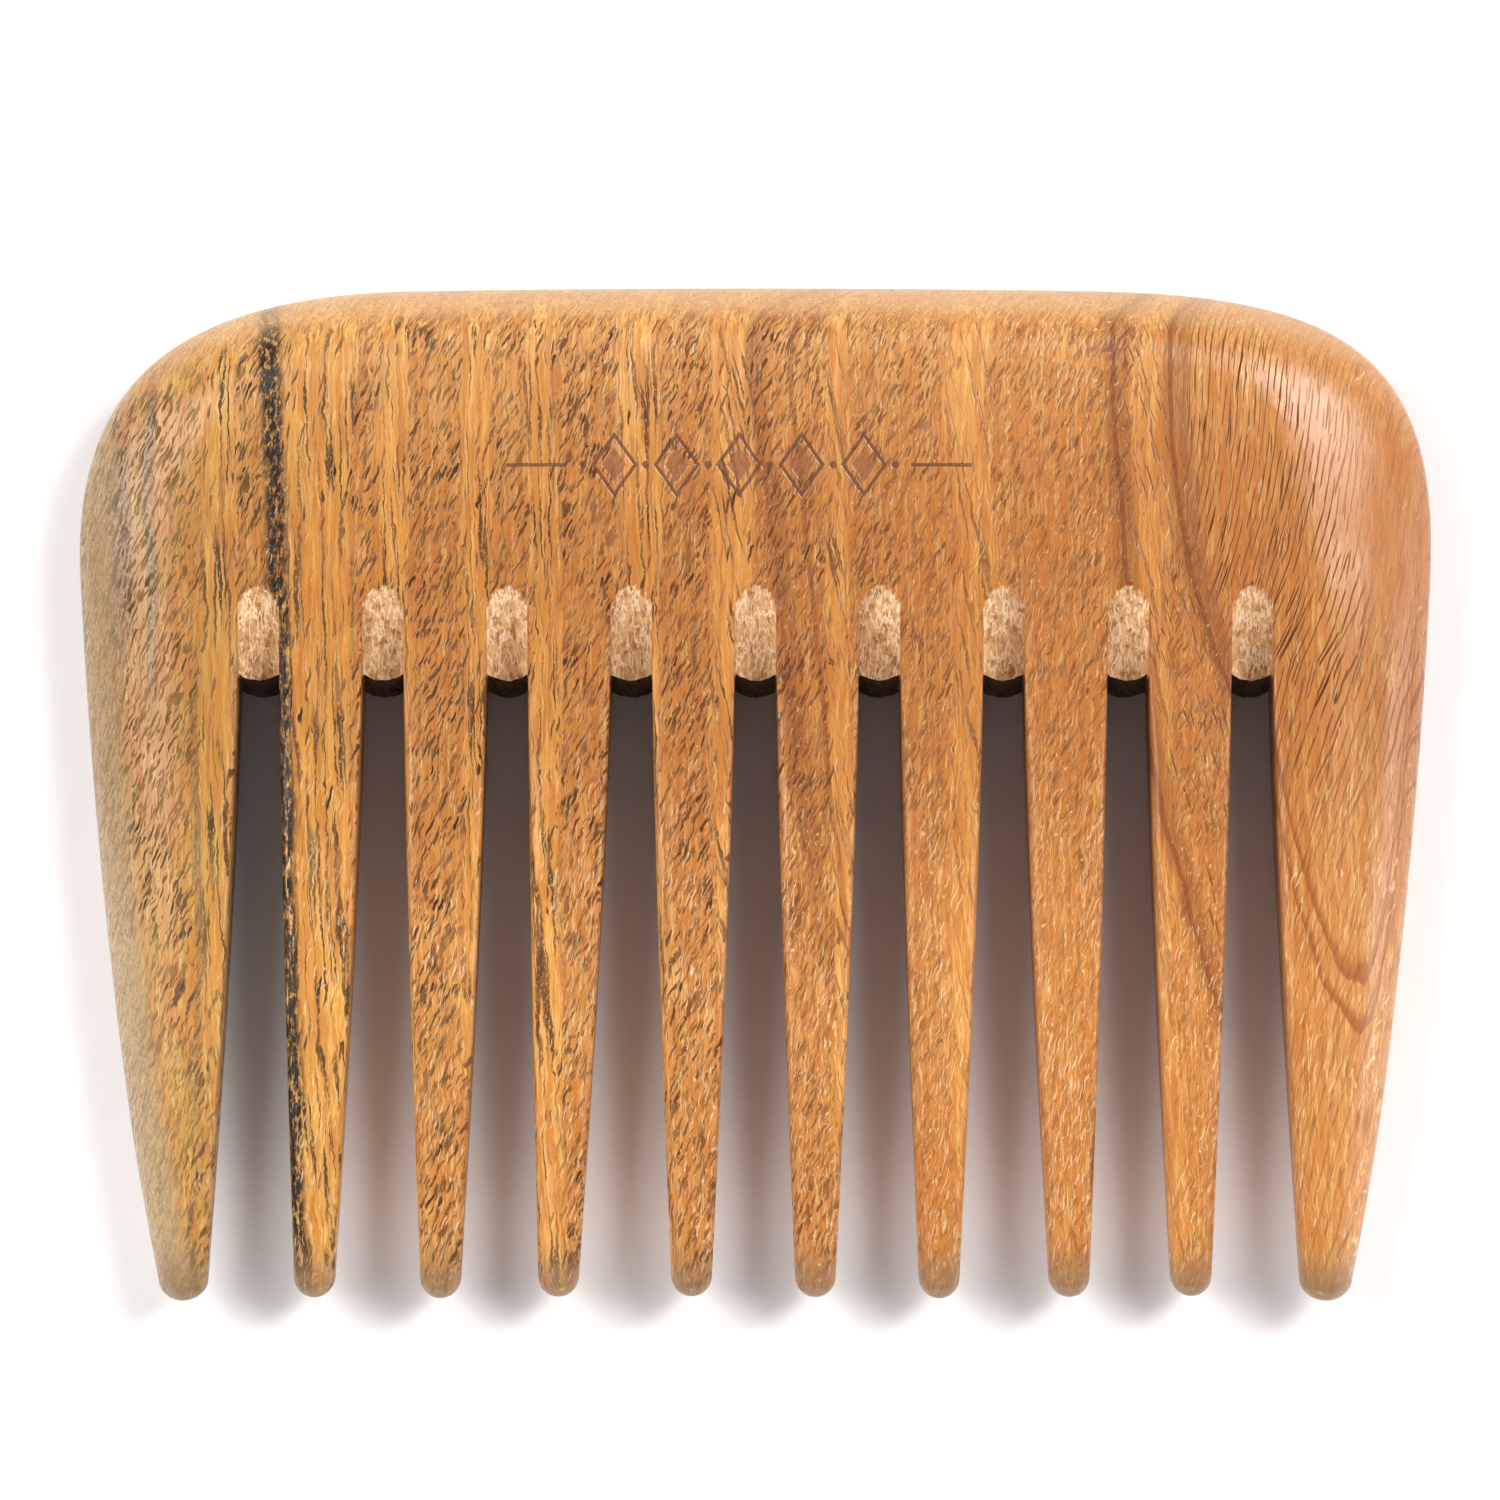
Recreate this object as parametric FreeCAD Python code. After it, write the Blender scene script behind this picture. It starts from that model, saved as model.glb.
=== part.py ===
import FreeCAD
import Part

import math
import os

# Wide tooth comb, sawn and carved from one board of hardwood with the grain along the teeth.
# Millimetres. The comb lies on its flat back face: X runs along the spine, +Y from the tooth
# tips to the spine, +Z up through the thickness. The origin is the centre of the footprint,
# on the surface that the comb lies on.

# Outline of the spine
WIDTH = 100.0
HEIGHT = 75.0
THICKNESS = 11.0
SPINE_STRAIGHT = 25.0  # half length of the nearly straight middle of the spine's top edge
SPINE_CROWN = 0.2  # how far that edge bows up over its middle
SHOULDER_Y = 16.0  # where the sides start to lean in
SHOULDER_FULLNESS = (0.70, 0.76)  # left and right corner; 0.55 would be a plain ellipse
SIDE_SLOPE = 0.049  # lean of the sides just below the shoulder
SIDE_BOW = 0.00108  # and how the lean grows towards the tips
TUCK_Y = -20.0  # below this the guards' outer sides turn in a little more
TUCK = 0.0014
SPINE_ROUND = 4.6  # width of the rounding along the spine's top edge
SIDE_ROUND = 8.0  # width of the softer rounding down each side

# Teeth
INNER_TEETH = 8
PITCH = 9.16
KERF = 3.12
TAPER_Y = 8.0  # the slots widen below this
JOIN_Y = 6.0  # the carved teeth grow out of the spine's sawn stubs here
TIP_Y = -37.2
GUARD_TIP_Y = -37.5
TIP_WIDTH = 2.86
TAPER_POWER = 1.31  # the teeth narrow slowly at the root and faster towards the tip
TIP_SHIFT = (-0.6, -0.42, -0.87, -0.15, -0.15, -0.15, 0.33, 0.18)  # hand finishing
GUARD_INNER_SHIFT = (2.45, 2.2)  # how far each guard's inner edge leans out by its tip
TIP_THICKNESS = 5.2
EDGE_ROUND = (0.1, 1.1)  # at the join and at the tip
TIP_ROUND = 1.0
SIDE_FLAT = 0.1  # height of the flat strip along the waist of each guard's outer side
SIDE_FADE = 1.2  # how the side's rounding narrows with the guard
SECTIONS = 6

# Gullets: a crowned wheel ramps both faces down to a short leaning land at each slot's root
WHEEL_RADIUS = 30.0
WHEEL_CROWN = 2.0  # radius of the wheel's rounded rim
FRONT_RAMP = ((15.5, 11.0), (8.5, 8.0))  # (Y, Z) where it leaves the face and meets the land
REAR_RAMP = ((14.3, 0.0), (7.25, 3.0))
LAND_BULGE = 3.0  # radius of the land, which bulges towards the tips

MID_Z = THICKNESS / 2
PULL = 0.5523  # of the inner poles of a cubic quarter ellipse
STEPS = 6  # outlines between the waist of the rounded edge and each face
STEP_IN = 0.04  # the carved teeth start this much inside the sawn stubs of the spine


def point(x, y, z=0.0):
    return FreeCAD.Vector(x, y, z)


def half_width(y):
    """Half the comb's width at its waist, at the shoulder or below it."""
    drop = SHOULDER_Y - y
    tuck = TUCK * max(0.0, TUCK_Y - y) ** 2
    return WIDTH / 2 - SIDE_SLOPE * drop - SIDE_BOW * drop**2 - tuck


def taper(y, tip_y):
    """0 where the slots start to widen, 1 at the tip."""
    drop = (TAPER_Y - y) / (TAPER_Y - tip_y)
    return drop**TAPER_POWER


def half_thickness(y):
    drop = (JOIN_Y - y) / (JOIN_Y - TIP_Y)
    return MID_Z - (MID_Z - TIP_THICKNESS / 2) * drop * drop


# --- spine ---


def corner(side, squeeze, top_y, z):
    """One corner of the spine, from its straight middle to the shoulder. side is -1 or 1."""
    fullness = SHOULDER_FULLNESS[0 if side < 0 else 1]
    start_x = SPINE_STRAIGHT * squeeze
    end_x = WIDTH / 2 * squeeze
    reach = fullness * (end_x - start_x)
    rise = fullness * (top_y - SHOULDER_Y)
    fall = 2 * SPINE_CROWN / SPINE_STRAIGHT * reach
    curve = Part.BezierCurve()
    curve.setPoles(
        [
            point(side * start_x, top_y, z),
            point(side * (start_x + reach), top_y - fall, z),
            point(side * (end_x + SIDE_SLOPE * rise * squeeze), SHOULDER_Y + rise, z),
            point(side * end_x, SHOULDER_Y, z),
        ]
    )
    return curve.toShape()


def side_arc(side, squeeze, low_y, z):
    """One side below the shoulder."""
    heights = (SHOULDER_Y, (SHOULDER_Y + low_y) / 2, low_y)
    points = [point(side * half_width(y) * squeeze, y, z) for y in heights]
    return Part.Arc(*points).toShape()


def outline(angle, low_y):
    """The spine's outline at one level of its rounded edge, -90 at the back face to 90."""
    inset = 1 - math.cos(math.radians(angle))
    z = MID_Z + MID_Z * math.sin(math.radians(angle))
    squeeze = 1 - SIDE_ROUND * inset / (WIDTH / 2)
    crown_y = HEIGHT / 2 - SPINE_ROUND * inset
    top_y = crown_y - SPINE_CROWN
    top_x = SPINE_STRAIGHT * squeeze
    low_x = half_width(low_y) * squeeze
    crown = Part.Arc(point(-top_x, top_y, z), point(0, crown_y, z), point(top_x, top_y, z))
    edges = [
        crown.toShape(),
        corner(1, squeeze, top_y, z),
        side_arc(1, squeeze, low_y, z),
        Part.makeLine(point(low_x, low_y, z), point(-low_x, low_y, z)),
        side_arc(-1, squeeze, low_y, z),
        corner(-1, squeeze, top_y, z),
    ]
    return Part.Wire(Part.__sortEdges__(edges))


def spine_block():
    """The rounded block above the join, before any slot is cut."""
    angles = [90 * step / STEPS for step in range(-STEPS, STEPS + 1)]
    return Part.makeLoft([outline(angle, JOIN_Y) for angle in angles], True, False)


# --- slots and gullets ---


def wheel(x, ramp, side):
    """The crowned cutting wheel that leaves a ramp. side is 1 on the front, -1 on the back."""
    (face_y, face_z), (land_y, land_z) = ramp
    run = face_y - land_y
    rise = face_z - land_z
    chord = math.hypot(run, rise)
    reach = math.sqrt(WHEEL_RADIUS**2 - (chord / 2) ** 2)
    centre_y = (face_y + land_y) / 2 - side * rise / chord * reach
    centre_z = (face_z + land_z) / 2 + side * run / chord * reach
    half = KERF / 2
    shoulder = WHEEL_RADIUS - WHEEL_CROWN + math.sqrt(WHEEL_CROWN**2 - half**2)
    hub = WHEEL_RADIUS / 2

    def rim(offset, radius):
        return point(x + offset, centre_y, centre_z + radius)

    edges = [
        Part.makeLine(rim(-half, hub), rim(-half, shoulder)),
        Part.Arc(rim(-half, shoulder), rim(0, WHEEL_RADIUS), rim(half, shoulder)).toShape(),
        Part.makeLine(rim(half, shoulder), rim(half, hub)),
        Part.makeLine(rim(half, hub), rim(-half, hub)),
    ]
    section = Part.Face(Part.Wire(edges))
    return section.revolve(point(x, centre_y, centre_z), point(1, 0, 0), 360)


def slot(x):
    """One saw slot in the spine, with its land and the ramps on both faces."""
    land_y, land_z = FRONT_RAMP[1]
    foot_y, foot_z = REAR_RAMP[1]
    lean = point(0, land_y - foot_y, land_z - foot_z)
    lean.normalize()
    inward = point(0, lean.z, -lean.y)  # from the teeth towards the spine, square to the lean
    sagitta = LAND_BULGE - math.sqrt(LAND_BULGE**2 - (KERF / 2) ** 2)
    edge = point(x - KERF / 2, land_y, land_z) + inward * sagitta
    high = edge + lean * THICKNESS
    low = edge - lean * THICKNESS
    open_y = JOIN_Y - THICKNESS
    corners = [low, point(edge.x, open_y, low.z), point(edge.x, open_y, high.z), high]
    saw = Part.Face(Part.makePolygon(corners + corners[:1])).extrude(point(KERF, 0, 0))
    axis = point(x, land_y, land_z) + inward * LAND_BULGE - lean * (2 * THICKNESS)
    bulge = Part.makeCylinder(LAND_BULGE, 4 * THICKNESS, axis, lean)
    return saw.cut(bulge).fuse([wheel(x, FRONT_RAMP, 1), wheel(x, REAR_RAMP, -1)])


def slot_centres():
    return [(index - INNER_TEETH / 2) * PITCH for index in range(INNER_TEETH + 1)]


# --- teeth ---


def levels(tip_y):
    """Where the sections across a tooth are taken."""
    return [JOIN_Y - (JOIN_Y - tip_y) * step / SECTIONS for step in range(SECTIONS + 1)]


def edge_round(y):
    """Radius along a tooth's long edges."""
    root_round, tip_round = EDGE_ROUND
    return root_round + (tip_round - root_round) * (JOIN_Y - y) / (JOIN_Y - TIP_Y)


def quarter(y, centre_x, centre_z, reach_x, reach_z):
    """A quarter of an ellipse, with its two ends: at its side, and at its top or bottom."""
    side = point(centre_x + reach_x, y, centre_z)
    end = point(centre_x, y, centre_z + reach_z)
    curve = Part.BezierCurve()
    curve.setPoles(
        [side, side + point(0, 0, reach_z * PULL), end + point(reach_x * PULL, 0, 0), end]
    )
    return curve.toShape(), side, end


def section(y, left, right, left_round, right_round):
    """A rounded section across a tooth. Each round is its reach along X and along Z."""
    half = half_thickness(y) - STEP_IN
    edges = []
    sides = {}
    for name, edge_x, way, (reach_x, reach_z) in (
        ("left", left + STEP_IN, 1, left_round),
        ("right", right - STEP_IN, -1, right_round),
    ):
        centre_x = edge_x + way * reach_x
        for up in (-1, 1):
            centre_z = MID_Z + up * (half - reach_z)
            curve, side, end = quarter(y, centre_x, centre_z, -way * reach_x, up * reach_z)
            edges.append(curve)
            sides[name, up] = (side, end)
    for name in ("left", "right"):
        edges.append(Part.makeLine(sides[name, -1][0], sides[name, 1][0]))
    for up in (-1, 1):
        edges.append(Part.makeLine(sides["left", up][1], sides["right", up][1]))
    return Part.Wire(Part.__sortEdges__(edges))


def round_tip(tooth, tip_y):
    end = [edge for edge in tooth.Edges if edge.BoundBox.YMax < tip_y + 1e-3]
    return tooth.makeFillet(TIP_ROUND, end)


def inner_tooth(index):
    centre = (index - (INNER_TEETH - 1) / 2) * PITCH
    root_width = PITCH - KERF
    sections = []
    for y in levels(TIP_Y):
        amount = taper(y, TIP_Y)
        middle = centre + TIP_SHIFT[index] * amount
        half = (root_width - (root_width - TIP_WIDTH) * amount) / 2
        round_here = (edge_round(y), edge_round(y))
        sections.append(section(y, middle - half, middle + half, round_here, round_here))
    return round_tip(Part.makeLoft(sections, True, False), TIP_Y)


def guard_tooth(side):
    """The wide tooth at one end of the comb, with a softly rounded outer side."""
    shift = GUARD_INNER_SHIFT[0 if side < 0 else 1]
    inner_x = slot_centres()[-1] + KERF / 2
    root_width = half_width(JOIN_Y) - inner_x
    sections = []
    for y in levels(GUARD_TIP_Y):
        inner = inner_x + shift * taper(y, GUARD_TIP_Y)
        outer = half_width(y)
        reach = SIDE_ROUND * ((outer - inner) / root_width) ** SIDE_FADE
        outer_round = (reach, half_thickness(y) - STEP_IN - SIDE_FLAT / 2)
        inner_round = (edge_round(y), edge_round(y))
        if side < 0:
            sections.append(section(y, -outer, -inner, outer_round, inner_round))
        else:
            sections.append(section(y, inner, outer, inner_round, outer_round))
    return round_tip(Part.makeLoft(sections, True, False), GUARD_TIP_Y)


def comb():
    teeth = [inner_tooth(index) for index in range(INNER_TEETH)]
    teeth += [guard_tooth(-1), guard_tooth(1)]
    spine = spine_block().cut([slot(x) for x in slot_centres()])
    return spine.fuse(teeth).Solids[0]


os.makedirs("parts", exist_ok=True)
comb().exportStep("parts/comb.step")
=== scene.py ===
import math

import bmesh
import bpy
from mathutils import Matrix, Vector, noise


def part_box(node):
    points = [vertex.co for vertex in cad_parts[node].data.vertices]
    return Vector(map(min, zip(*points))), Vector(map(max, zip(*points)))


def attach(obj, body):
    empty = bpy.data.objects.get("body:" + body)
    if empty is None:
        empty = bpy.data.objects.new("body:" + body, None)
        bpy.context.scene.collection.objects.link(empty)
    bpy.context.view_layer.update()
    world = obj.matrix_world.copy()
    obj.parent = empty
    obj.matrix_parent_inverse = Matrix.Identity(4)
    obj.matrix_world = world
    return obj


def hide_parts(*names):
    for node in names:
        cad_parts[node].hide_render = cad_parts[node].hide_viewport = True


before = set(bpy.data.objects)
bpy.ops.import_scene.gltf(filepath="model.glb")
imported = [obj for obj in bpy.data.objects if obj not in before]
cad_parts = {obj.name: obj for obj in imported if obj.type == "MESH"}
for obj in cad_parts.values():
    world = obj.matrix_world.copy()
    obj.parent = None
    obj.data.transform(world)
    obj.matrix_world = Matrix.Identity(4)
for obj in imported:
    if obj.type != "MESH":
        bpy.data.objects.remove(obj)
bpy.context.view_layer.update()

MM = 0.001  # the comb is shaped in millimetres and scaled to metres at the end

# The comb's thickness and the top edge of its spine come from the frame
LOW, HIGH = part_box("comb")
THICKNESS = (HIGH.z - LOW.z) / MM
MID_Z = THICKNESS / 2
SPINE_Y = HIGH.y / MM

# Spine
WIDTH = 100.0
SPINE_STRAIGHT = 25.0  # half length of the nearly straight middle of the spine's top edge
SPINE_CROWN = 0.2  # how far that edge bows up over its middle
SHOULDER_Y = 16.0  # where the sides start to lean in
SHOULDER_FULLNESS = (0.70, 0.76)  # left and right corner
SIDE_SLOPE = 0.049  # lean of the sides just below the shoulder
SIDE_BOW = 0.00108  # and how the lean grows towards the tips
TUCK_Y = -20.0  # below this the guards' outer sides turn in a little more
TUCK = 0.0014
SPINE_ROUND = 4.6  # width of the rounding along the spine's top edge
SIDE_ROUND = 8.0  # width of the softer rounding down each side
CORNER_SPLIT = 0.5  # place on each corner's curve where the top of the face meets its side

# Teeth
TEETH = 10  # the first and last are the wide guards
PITCH = 9.16
KERF = 3.12
TAPER_Y = 8.0  # the slots widen below this
JOIN_Y = 6.0  # the teeth thin below this
TIP_Y = -37.2
GUARD_TIP_Y = -37.45
TIP_WIDTH = 2.86
TAPER_POWER = 1.31  # the teeth narrow slowly at the root and faster towards the tip
TIP_SHIFT = (-2.45, -0.6, -0.42, -0.87, -0.15, -0.15, -0.15, 0.33, 0.18, 2.2)
TIP_LENGTH = (0.0, 0.0, -0.06, 0.05, 0.08, 0.02, -0.07, 0.03, 0.1, 0.0)
TIP_THICKNESS = 5.2
TRENCH_EDGE = 0.15  # rounding of the teeth's long edges beside the gullets,
WALL_EDGE = 0.62  # below them
TIP_EDGE = 1.15  # and at the tips
SIDE_FADE = 1.2  # how the side's rounding narrows with the guard
TIP_RUN = 1.6  # how far the rounding of a tip's end runs up the tooth
TIP_SQUARE = 2.05  # exponent of the tip's outline, 2 is an ellipse

# Gullets: a crowned wheel ramps both faces down to a short leaning land at each slot's root
LAND_Y = 8.94
LAND_SLOPE = 1.25  # how far the land leans from its top to its foot
LAND_TOP_Z = 8.0
LAND_FOOT_Z = 3.0
LAND_BULGE = 0.5
WHEEL_RADIUS = 30.0
WHEEL_CROWN = 2.0  # radius of the wheel's rounded rim
FRONT_RAMP = ((15.5, 11.0), (8.5, 8.0))  # (Y, Z) where it leaves the face and meets the land
REAR_RAMP = ((14.3, 0.0), (7.25, 3.0))
TORN_DEPTH = 0.16

# A facet sanded on the front of the right shoulder
FACET_POINT = (36.8, 33.3)
FACET_OUT = (0.966, 0.26)
FACET_SLOPE = 0.14
POLISH_POINT = (38.2, 33.3)  # the polish starts a little inside the facet
POLISH_OUT = (0.935, 0.354)

# Ribbons of smooth grain, as (middle, half width)
RIBBONS = (
    (-39.5, 1.3), (-32.3, 2.6), (-26.8, 1.2), (-20.6, 1.1), (-15.8, 1.1), (-8.6, 1.6),
    (-1.6, 1.5), (6.3, 0.8), (15.8, 1.5), (29.4, 1.6), (44.0, 3.0),
)

# Tones of the wood across the comb, from its left side to its right
GOLDEN = (
    (0.0, (0.50, 0.36, 0.21)),
    (0.055, (0.54, 0.33, 0.095)),
    (0.2, (0.66, 0.32, 0.075)),
    (0.45, (0.66, 0.31, 0.08)),
    (0.8, (0.60, 0.26, 0.07)),
    (1.0, (0.52, 0.24, 0.085)),
)
ROUGH = (
    (0.0, (0.42, 0.28, 0.15)),
    (0.055, (0.48, 0.265, 0.08)),
    (0.2, (0.52, 0.23, 0.06)),
    (0.5, (0.48, 0.19, 0.05)),
    (0.8, (0.52, 0.21, 0.055)),
    (1.0, (0.48, 0.20, 0.06)),
)
PORES = (
    (0.0, (0.05, 0.04, 0.03)),
    (0.2, (0.04, 0.024, 0.016)),
    (0.5, (0.075, 0.025, 0.01)),
    (1.0, (0.10, 0.028, 0.009)),
)
RED_BROWN = (0.33, 0.12, 0.035)
PAINTED_TOP_SHEEN = (0.70, 0.42, 0.20)
PALE_FIBRE = (0.80, 0.50, 0.22)
SILK = (0.84, 0.58, 0.32)
RUDDY = (0.46, 0.15, 0.03)
LATE_WOOD = (0.22, 0.06, 0.013)
ARCH = (0.31, 0.09, 0.022)
SANDED_AND_SHADED = (0.50, 0.20, 0.07)
STAIN = (0.12, 0.04, 0.015)
BLACK = (0.018, 0.012, 0.009)
OLIVE = (0.40, 0.26, 0.07)
SMUDGE = (0.075, 0.07, 0.065)
WEATHERED_AND_SHEEN_GREY = (0.46, 0.36, 0.26)
WEATHERED_SPECK = (0.22, 0.17, 0.12)
LIFTED_FIBRE = (0.86, 0.68, 0.50)
GLINT = (0.90, 0.70, 0.50)
TIP_END_DARK = (0.21, 0.13, 0.08)
BURNED_LINE = (0.11, 0.035, 0.014)
BURNED_FILL = (0.22, 0.075, 0.03)
OILED = (0.79, 0.69, 0.48)
THIN_OIL = (0.99, 0.96, 0.80)
WHITE_FIBRE = (1.0, 0.86, 0.68)
PAINTED_ROOT_SHADE = (0.025, 0.014, 0.009)
GULLET_SHADES = ((0.54, 0.42, 0.33), (0.98, 0.88, 0.74))
END_GRAIN = (
    (0.3, (0.26, 0.14, 0.07)),
    (0.5, (0.52, 0.33, 0.18)),
    (0.7, (0.72, 0.54, 0.36)),
)
TORN = (
    (0.38, (0.40, 0.18, 0.065)),
    (0.48, (0.68, 0.41, 0.19)),
    (0.65, (0.82, 0.60, 0.36)),
)

# Arches of late wood on the right guard
ARCH_FOOT = (44.8, -17.5)  # the lowest point of the lowest arch
ARCH_BOW = (0.39, 1.8)  # how steeply an arch climbs to its left and to its right
ARCH_PITCH = 3.7

# Fine relief of the fibres, pores and burned lines
RELIEF_STRENGTH = 0.3
RELIEF_DEPTH = 0.00008  # metres

# Burned band on the front
BAND_MIDDLE = (-1.2, 24.3)
LOZENGES = 5
LOZENGE = (1.55, 2.2)  # half width and half height
LOZENGE_PITCH = 4.6

# Studio light: the sky is dark overhead and glows near the horizon
HORIZON_GLOW = 0.6
ZENITH_GLOW = 0.02
FLOOR_COLOUR = (0.91, 0.885, 0.89)
FLOOR_HALF = 1.5
LENS = 324
CAMERA_PLACE = (-0.0004, 0.0033, 1.0055)

# Mesh density
LEVELS = 14
GUARD_COLUMNS = 12
TOOTH_COLUMNS = 8
GAP_COLUMNS = 16
TIP_ROWS = 5
TOOTH_ROWS = 52
RAMP_ROWS = 28
SPINE_ROWS = 30
ROOT_ROW = TIP_ROWS + TOOTH_ROWS
SHOULDER_ROW = ROOT_ROW + RAMP_ROWS
TOP_ROW = SHOULDER_ROW + SPINE_ROWS


def lerp(a, b, f):
    return a + (b - a) * f


def share_between(low, high, value):
    """0 at low and 1 at high."""
    return min(1.0, max(0.0, (value - low) / (high - low)))


def smooth(low, high, value):
    """The same with a soft start and end."""
    f = share_between(low, high, value)
    return f * f * (3 - 2 * f)


# --- the comb's outline ---


def half_width(y):
    drop = max(0.0, SHOULDER_Y - y)
    tuck = TUCK * max(0.0, TUCK_Y - y) ** 2
    return WIDTH / 2 - SIDE_SLOPE * drop - SIDE_BOW * drop**2 - tuck


def half_thickness(y):
    drop = max(0.0, JOIN_Y - y) / (JOIN_Y - TIP_Y)
    return MID_Z - (MID_Z - TIP_THICKNESS / 2) * drop * drop


def walls(tooth, y):
    """Left and right wall of a tooth at its waist."""
    taper = (max(0.0, TAPER_Y - y) / (TAPER_Y - TIP_Y)) ** TAPER_POWER
    shift = TIP_SHIFT[tooth] * taper
    guard_x = (TEETH - 2) / 2 * PITCH + KERF / 2
    if tooth == 0:
        return -half_width(y), -guard_x + shift
    if tooth == TEETH - 1:
        return guard_x + shift, half_width(y)
    centre = (tooth - (TEETH - 1) / 2) * PITCH + shift
    half = lerp(PITCH - KERF, TIP_WIDTH, taper) / 2
    return centre - half, centre + half


def wall_round(y):
    """Rounding of the teeth's edges: crisp in the gullets, soft at the tips."""
    soft = lerp(WALL_EDGE, TIP_EDGE, smooth(-12, -36, y))
    return lerp(TRENCH_EDGE, soft, smooth(LAND_Y, 1.5, y))


def rounds(tooth, y):
    """How far the rounding reaches in from the left and the right wall."""
    left = right = wall_round(y)
    if tooth in (0, TEETH - 1):
        left_x, right_x = walls(tooth, y)
        root_left, root_right = walls(tooth, JOIN_Y)
        share = min(1.0, (right_x - left_x) / (root_right - root_left))
        side = SIDE_ROUND * share**SIDE_FADE
        if tooth == 0:
            left = side
        else:
            right = side
    return left, right


def corner(side, squeeze, top_y, t):
    """A point on one corner of the spine, from the top at 0 to the shoulder at 1."""
    fullness = SHOULDER_FULLNESS[0 if side < 0 else 1]
    start_x = SPINE_STRAIGHT * squeeze
    end_x = WIDTH / 2 * squeeze
    reach = fullness * (end_x - start_x)
    rise = fullness * (top_y - SHOULDER_Y)
    fall = 2 * SPINE_CROWN / SPINE_STRAIGHT * reach
    poles = (
        (start_x, top_y),
        (start_x + reach, top_y - fall),
        (end_x + SIDE_SLOPE * rise * squeeze, SHOULDER_Y + rise),
        (end_x, SHOULDER_Y),
    )
    weights = ((1 - t) ** 3, 3 * t * (1 - t) ** 2, 3 * t * t * (1 - t), t**3)
    x = sum(w * p[0] for w, p in zip(weights, poles))
    y = sum(w * p[1] for w, p in zip(weights, poles))
    return Vector((side * x, y))


def spine_edge(base_x, inset):
    """The spine's top edge above base_x on the shoulder line, at the waist or inset to the face."""
    squeeze = 1 - SIDE_ROUND * inset / (WIDTH / 2)
    face_squeeze = 1 - SIDE_ROUND / (WIDTH / 2)
    top_y = SPINE_Y - SPINE_CROWN - SPINE_ROUND * inset
    along = abs(base_x) / (SPINE_STRAIGHT * face_squeeze)
    if along <= 1:
        return Vector((base_x * squeeze / face_squeeze, top_y + SPINE_CROWN * (1 - along**2)))
    last = WIDTH / 2 / SPINE_STRAIGHT
    t = CORNER_SPLIT * (along - 1) / (last - 1)
    return corner(math.copysign(1, base_x), squeeze, top_y, t)


def side_edge(side, v, inset):
    """The spine's side, from the shoulder at 0 to where it meets the top edge at 1."""
    squeeze = 1 - SIDE_ROUND * inset / (WIDTH / 2)
    top_y = SPINE_Y - SPINE_CROWN - SPINE_ROUND * inset
    return corner(side, squeeze, top_y, 1 - v * (1 - CORNER_SPLIT))


# --- columns and rows of the mesh ---


def make_columns():
    """Every column as (tooth, gap, place): place runs from -1 to 1 over a tooth, and is a
    station number in a gap."""
    columns = []
    for tooth in range(TEETH):
        count = GUARD_COLUMNS if tooth in (0, TEETH - 1) else TOOTH_COLUMNS
        columns += [(tooth, None, 2 * step / count - 1) for step in range(count + 1)]
        if tooth < TEETH - 1:
            columns += [(None, tooth, step) for step in range(1, GAP_COLUMNS)]
    return columns


COLUMNS = make_columns()


def gap_walls(gap):
    return walls(gap, LAND_Y)[1], walls(gap + 1, LAND_Y)[0]


def land_y(z):
    """The slot's root, seen from the side: it leans from the front ridge to the back edge."""
    return LAND_Y - LAND_SLOPE * (1 - share_between(LAND_FOOT_Z, LAND_TOP_Z, z))


def row_y(row, z, tooth=None):
    """Height of a row from the tips. Rows near the gullets lean with the slot's root."""
    if row >= SHOULDER_ROW:
        return None
    if row >= ROOT_ROW:
        y = lerp(LAND_Y, SHOULDER_Y, (row - ROOT_ROW) / RAMP_ROWS)
        lean = 1 - smooth(LAND_Y, SHOULDER_Y, y)
    else:
        start = tip_start(tooth)
        f = (row - TIP_ROWS) / TOOTH_ROWS
        y = lerp(start, LAND_Y, max(0.0, f) ** 0.95)
        lean = smooth(0, LAND_Y, y)
    return y - (LAND_Y - land_y(z)) * lean


def tip_start(tooth):
    end = GUARD_TIP_Y if tooth in (0, TEETH - 1) else TIP_Y
    return end + TIP_LENGTH[tooth] + TIP_RUN


def ramp_z(x, y, ramp, side):
    """Depth of the ramp that the crowned wheel leaves. x is measured from the slot's middle."""
    (face_y, face_z), (foot_y, foot_z) = ramp
    run = face_y - foot_y
    rise = face_z - foot_z
    chord = math.hypot(run, rise)
    reach = math.sqrt(WHEEL_RADIUS**2 - (chord / 2) ** 2)
    centre_y = (face_y + foot_y) / 2 - side * rise / chord * reach
    centre_z = (face_z + foot_z) / 2 + side * run / chord * reach
    crown = WHEEL_CROWN - math.sqrt(max(0.01, WHEEL_CROWN**2 - x * x))
    radius = WHEEL_RADIUS - crown
    return centre_z - side * math.sqrt(radius**2 - (y - centre_y) ** 2)


# --- positions ---


def coons(base_x, v):
    """A point on the face between the shoulder line and the spine's top edge."""
    half = WIDTH / 2 - SIDE_ROUND
    u = (base_x + half) / (2 * half)
    top = spine_edge(base_x, 1)
    bottom = Vector((base_x, SHOULDER_Y))
    left = side_edge(-1, v, 1)
    right = side_edge(1, v, 1)
    corners = (
        Vector((-half, SHOULDER_Y)) * ((1 - u) * (1 - v))
        + Vector((half, SHOULDER_Y)) * (u * (1 - v))
        + spine_edge(-half, 1) * ((1 - u) * v)
        + spine_edge(half, 1) * (u * v)
    )
    return bottom * (1 - v) + top * v + left * (1 - u) + right * u - corners


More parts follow.
